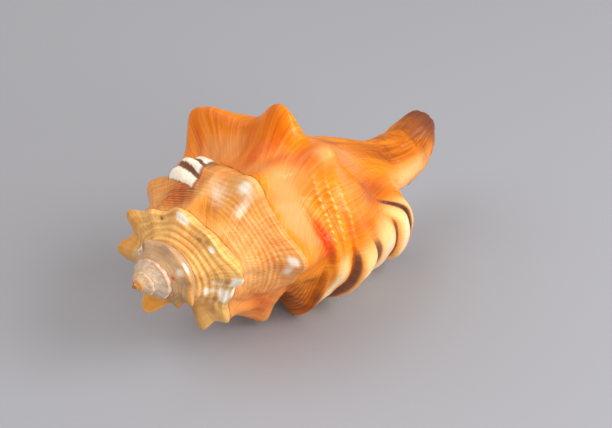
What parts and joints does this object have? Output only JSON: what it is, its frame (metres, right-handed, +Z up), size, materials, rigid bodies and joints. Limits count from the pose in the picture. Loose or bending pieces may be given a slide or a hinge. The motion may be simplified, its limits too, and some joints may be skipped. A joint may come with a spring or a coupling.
{
  "type": "triton seashell",
  "caption": "Spired sea snail shell with knobbed whorls, a ribbed flaring lip, an open aperture and a long siphonal canal that turns up, lying on its aperture.",
  "frame": {"origin": "middle of the base of the shell's bounding box, on the surface it lies on", "axes": "+X from the apex towards the siphonal canal, +Z up, away from the surface, and -Y the side of the outer lip"},
  "size_m": [0.1108, 0.06, 0.0625],
  "materials": {
    "shell": "glossy natural shell, orange and cream with brown bands"
  },
  "bodies": {
    "root": {"shell": "shell"}
  },
  "joints": []
}
